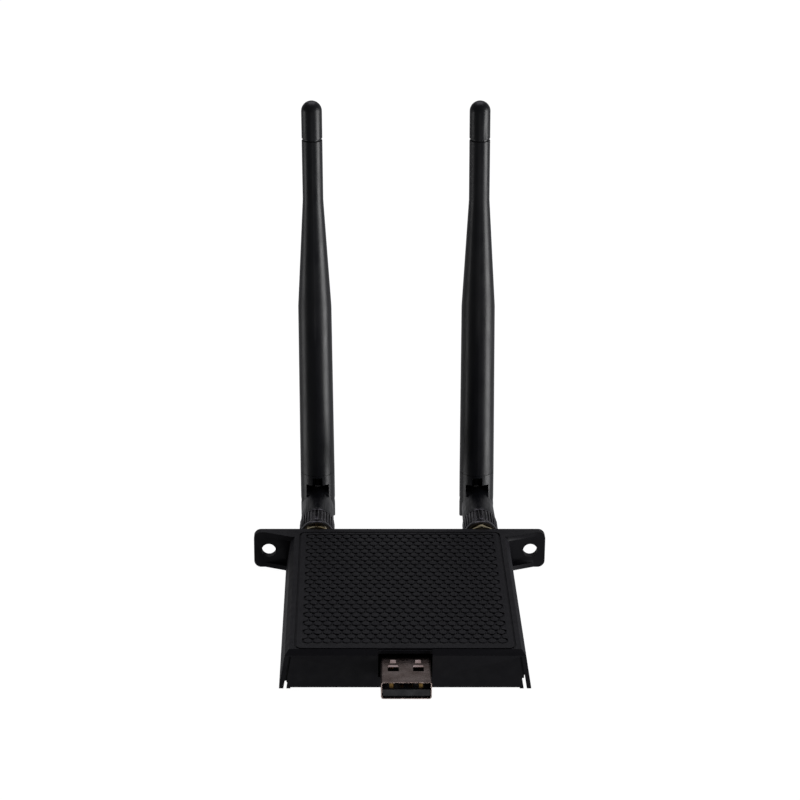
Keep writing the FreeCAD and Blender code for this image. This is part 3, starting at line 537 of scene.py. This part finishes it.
def couplingNut(label, side):
    n = nut
    profile = [
        (0, n["bore"]), (0, n["ringCrest"] - 0.35), (0.12, n["ringCrest"] - 0.1), (0.35, n["ringCrest"]),
        (n["frontRing"] - 0.25, n["ringCrest"]), (n["frontRing"] - 0.05, n["ringCrest"] - 0.1),
        (n["frontRing"], n["root"]), (nutLength - n["backRing"], n["root"]),
        (nutLength - n["backRing"] + 0.05, n["ringCrest"] - 0.12),
        (nutLength - n["backRing"] + 0.2, n["ringCrest"] - 0.04),
        (nutLength - 0.3, n["ringCrest"] - 0.04), (nutLength - 0.08, n["ringCrest"] - 0.2),
        (nutLength, n["ringCrest"] - 0.45), (nutLength, n["lip"]), (nutLength - n["lipDepth"], n["lip"]),
        (nutLength - n["lipDepth"], n["bore"]),
    ]
    body = newPiece(label + ".nutBody", latheMesh("nutBody", profile, n["turns"]))
    setSmooth(body.data, 40)
    start = n["frontRing"] + n["ribEnd"]
    end = nutLength - n["backRing"] - n["ribEnd"]
    root = n["root"] - n["ribSink"]
    rib = newPiece("rib", ribMesh("rib", n["ribWidth"], root, n["crest"], start, end, n["ribSoft"], 3))
    pitch = 2 * math.pi / n["ribs"]
    landWidth = (n["leftOut"] * pitch * n["crest"]) - (pitch * n["crest"] - n["ribWidth"])
    land = newPiece("land", ribMesh("land", landWidth, root, n["crest"] - n["landDrop"], start, end,
                                    n["ribSoft"], 7))
    ribs = grown(label + ".nutRibs", ringTree, {"Part": rib, "Count": n["ribs"], "Group": n["group"],
                                                "Left out": n["leftOut"], "Start": -pitch / 2 + n["turned"] * side,
                                                "Finish": finishes["black_plated_brass"]})
    lands = grown(label + ".nutLands", ringTree, {"Part": land, "Count": n["ribs"] // n["group"], "Group": 1,
                                                  "Left out": 0, "Start": n["turned"] * side,
                                                  "Finish": finishes["black_plated_brass"]})
    place = Matrix.Translation((side * abs(nutLow.x + nutHigh.x) / 2, nutLow.y, nutZ))
    for piece in (body, ribs, lands):
        piece.data.transform(place)
    bpy.data.objects.remove(rib)
    bpy.data.objects.remove(land)
    giveTo(body, label + "_coupling_nut")
    giveTo(ribs, label + "_coupling_nut", hides=False)
    giveTo(lands, label + "_coupling_nut", hides=False)


for label, side in sides.items():
    couplingNut(label, side)
print("coupling nuts made")

# Jacks: the barrel outside the plate carries a real thread, a quarter-inch one with 36 turns to the inch
jack = {"crest": 3.15, "root": 2.78, "pitch": 0.7056, "mouth": 2.32, "mouthDepth": 2.3, "steps": 48, "perTurn": 6,
        "plain": 2.2, "runOut": 0.5, "bore": 2.0}


def threadMesh(name, start, end):
    shape = bmesh.new()
    steps = jack["steps"]
    rows = int((end - start) / jack["pitch"] * jack["perTurn"]) + 1
    rings = []
    for row in range(rows + 1):
        along = start + (end - start) * row / rows
        fade = min(1.0, (end - along) / jack["runOut"])
        ring = []
        for step in range(steps):
            phase = (along / jack["pitch"] - step / steps) % 1.0
            ridge = min(1.0, max(0.0, 1.25 - abs(phase - 0.5) * 4 * 0.75))
            radius = jack["root"] + (jack["crest"] - jack["root"]) * ridge * max(0.0, fade)
            angle = 2 * math.pi * step / steps
            ring.append(shape.verts.new((radius * mm * math.sin(angle), along * mm, radius * mm * math.cos(angle))))
        rings.append(ring)
    for along, radius in ((end, jack["mouth"]), (end - jack["mouthDepth"], jack["mouth"]),
                          (end - jack["mouthDepth"], jack["bore"]), (start, jack["bore"])):
        rings.append(ringPoints(shape, along, radius, steps))
    joinRings(shape, rings)
    bmesh.ops.recalc_face_normals(shape, faces=shape.faces)
    return keptMesh(shape, name, 45)


def insidePart(node, limitY):
    # the part of a node in front of a plane, closed off there
    shape = bmesh.new()
    shape.from_mesh(nodes[node].data)
    bmesh.ops.remove_doubles(shape, verts=shape.verts, dist=weldDistance)
    cutPlane = bmesh.ops.bisect_plane(shape, geom=shape.verts[:] + shape.edges[:] + shape.faces[:],
                                      plane_co=(0, limitY, 0), plane_no=(0, 1, 0), clear_outer=True)
    bmesh.ops.holes_fill(shape, edges=[e for e in cutPlane["geom_cut"] if isinstance(e, bmesh.types.BMEdge)])
    return keptMesh(shape, node + ".inside", creaseAngle)


for label, side in sides.items():
    jackLow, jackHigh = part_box(label + "_jack_shell")
    plateY = caseHigh.y - jack["plain"] * mm
    thread = newPiece(label + ".jackThread", threadMesh("jackThread", plateY / mm, jackHigh.y / mm))
    thread.data.transform(Matrix.Translation((side * abs(jackLow.x + jackHigh.x) / 2, 0, nutZ)))
    giveTo(thread, label + "_jack_shell")
    inner = newPiece(label + ".jackBack", insidePart(label + "_jack_shell", plateY))
    giveTo(inner, label + "_jack_shell", hides=False)
    softened(label + "_hex_nut", 0.07)
    softened(label + "_lock_washer", 0.05)
print("jacks threaded")

# Antennas: softened mouldings; the sleeve has a parting line down its front and its back
sleeve = {"turns": 96, "lineHeight": 0.035, "soft": 0.12, "wall": 0.9, "step": 3.0,
          "outline": ((14.5, 4.75), (63.0, 4.52), (93.0, 2.75), (109.35, 2.75))}


def sleeveMesh(label):
    # rings up the outline, closed inside, with the mould's parting line raised, then leaned like the antenna
    hinge = next(joint for joint in record["behaviour"]["joints"] if joint["name"] == label + "_bend")
    x, y, z = hinge["pos_m"]
    soft = sleeve["soft"]
    outline = sleeve["outline"]
    rings = [(outline[0][0], outline[0][1] - soft), (outline[0][0] + soft, outline[0][1])]
    for (z0, r0), (z1, r1) in zip(outline, outline[1:]):
        steps = max(1, int((z1 - z0) / sleeve["step"]))
        rings += [(z0 + (z1 - z0) * step / steps, r0 + (r1 - r0) * step / steps) for step in range(1, steps)]
        rings.append((z1, r1))
    rings[-1] = (outline[-1][0] - soft, outline[-1][1])
    rings.append((outline[-1][0], outline[-1][1] - soft))
    rings += [(outline[-1][0], outline[-1][1] - sleeve["wall"]), (outline[0][0], outline[0][1] - sleeve["wall"])]
    shape = bmesh.new()
    loops = []
    for number, (height, radius) in enumerate(rings):
        loop = []
        for step in range(sleeve["turns"]):
            angle = 2 * math.pi * step / sleeve["turns"]
            onLine = step % (sleeve["turns"] // 2) == 0 and number < len(rings) - 2
            reach = radius + (sleeve["lineHeight"] if onLine else 0)
            loop.append(shape.verts.new((reach * mm * math.sin(angle), y - reach * mm * math.cos(angle),
                                         height * mm - z)))
        loops.append(loop)
    joinRings(shape, loops)
    bmesh.ops.recalc_face_normals(shape, faces=shape.faces)
    lean = math.asin(hinge["axis"][2])
    shape.transform(Matrix.Translation((x, 0, z)) @ Matrix.Rotation(lean, 4, "Y"))
    return keptMesh(shape, "sleeve", 40)


for label in sides:
    blade = newPiece(label + ".sleeve", sleeveMesh(label))
    giveTo(blade, label + "_antenna_sleeve")
    softened(label + "_antenna_fork", 0.1, 3)
    softened(label + "_elbow_arm", 0.1, 3)
    softened(label + "_end_cap", 0.08)
    softened(label + "_hinge_pins", 0.1)
    softened(label + "_antenna_plug", 0.04)
print("antennas made")

softened("bottom_cover", 0.15)
softened("case_screws", 0.08)
softened("rf_shield", 0.1)

# Everything still shown as its own node takes its finish here
for name, node in nodes.items():
    node.data.materials.clear()
    node.data.materials.append(finishes[slotOf[name]])

# Pale paper under the object: its own glow keeps it near white, and it neither shades nor lights the object
studio = {"floorSize": 6.0, "floorGlow": 0.99, "lowGlow": 0.3, "highGlow": 0.07,
          "glowFrom": (0.15, 0.9, -0.4), "floorDrop": 0.02}


def paleFloor():
    material, tree = newMaterial("pale paper")
    place = addNode(tree, "ShaderNodeTexCoord").outputs["Object"]
    fibres = addNode(tree, "ShaderNodeTexNoise", {"Vector": place, "Scale": 900.0, "Detail": 3.0}).outputs["Fac"]
    tint = addNode(tree, "ShaderNodeMix", {0: fibres, 6: hexColour("6c6c6c"), 7: hexColour("747474")},
                   data_type="RGBA").outputs[2]
    shader = addNode(tree, "ShaderNodeBsdfPrincipled", {"Base Color": tint, "Roughness": 0.9,
                                                        "Emission Color": (1, 1, 1, 1),
                                                        "Emission Strength": studio["floorGlow"]})
    addNode(tree, "ShaderNodeOutputMaterial", {"Surface": shader.outputs[0]})
    half = studio["floorSize"] / 2
    mesh = bpy.data.meshes.new("paperFloor")
    level = -studio["floorDrop"] * mm
    mesh.from_pydata([(-half, -half, level), (half, -half, level), (half, half, level), (-half, half, level)], [],
                     [(0, 1, 2, 3)])
    mesh.materials.append(material)
    floor = newPiece("paperFloor", mesh)
    floor.visible_glossy = False
    floor.visible_diffuse = False
    floor.visible_shadow = False


paleFloor()

world = bpy.data.worlds.new("dimStudio")
bpy.context.scene.world = world
world.use_nodes = True
world.node_tree.nodes.clear()
# the world is brighter behind the object and below its horizon, which draws the light rims down its sides
toward = addNode(world.node_tree, "ShaderNodeTexCoord").outputs["Generated"]
along = addNode(world.node_tree, "ShaderNodeVectorMath", {0: toward, 1: studio["glowFrom"]},
                operation="DOT_PRODUCT").outputs["Value"]
glow = addNode(world.node_tree, "ShaderNodeMapRange", {"Value": along, "From Min": 0.1, "From Max": 0.9,
                                                       "To Min": studio["highGlow"],
                                                       "To Max": studio["lowGlow"]}).outputs[0]
dim = addNode(world.node_tree, "ShaderNodeBackground", {"Color": (0.98, 0.98, 1.0, 1.0), "Strength": glow})
addNode(world.node_tree, "ShaderNodeOutputWorld", {"Surface": dim.outputs[0]})

# Soft boxes: where each stands, what it points at, its width and height, and how bright its face is
softBoxes = {
    "keyRight": {"at": (1.0, -0.25, -0.05), "aim": (0, 0.04, 0.05), "size": (0.6, 0.9), "face": 4.2},
    "topBack": {"at": (0.0, 0.45, 1.0), "aim": (0, 0.0, 0.02), "size": (0.8, 0.8), "face": 0.9,
                "tint": (0.98, 0.965, 1.06)},
    "leftFill": {"at": (-1.05, 0.05, -0.3), "aim": (0, 0.04, 0.05), "size": (0.5, 0.8), "face": 1.2},
    "lowFront": {"at": (0.03, -1.2, -0.62), "aim": (0, 0, 0), "size": (0.24, 0.2), "face": 4.5},
}
for name, box in softBoxes.items():
    data = bpy.data.lights.new(name, "AREA")
    data.shape = "RECTANGLE"
    data.size, data.size_y = box["size"]
    data.energy = box["face"] * math.pi * box["size"][0] * box["size"][1]
    data.color = box.get("tint", (1, 1, 1))
    lamp = bpy.data.objects.new(name, data)
    lamp.location = box["at"]
    lamp.rotation_euler = (Vector(box["aim"]) - Vector(box["at"])).to_track_quat("-Z", "Y").to_euler()
    bpy.context.scene.collection.objects.link(lamp)

view = {"at": (-0.01343, -0.5293, 0.2662), "tiltDown": 21.21, "lens": 103.93, "shift": 0.0633}
lens = bpy.data.cameras.new("camera")
lens.lens = view["lens"]
lens.sensor_width = 36.0
lens.shift_x = view["shift"]
lens.clip_start = 0.02
camera = bpy.data.objects.new("camera", lens)
camera.location = view["at"]
camera.rotation_euler = (math.radians(90 - view["tiltDown"]), 0, 0)
bpy.context.scene.collection.objects.link(camera)
bpy.context.scene.camera = camera
bpy.context.scene.view_settings.view_transform = "Standard"
print("studio set")
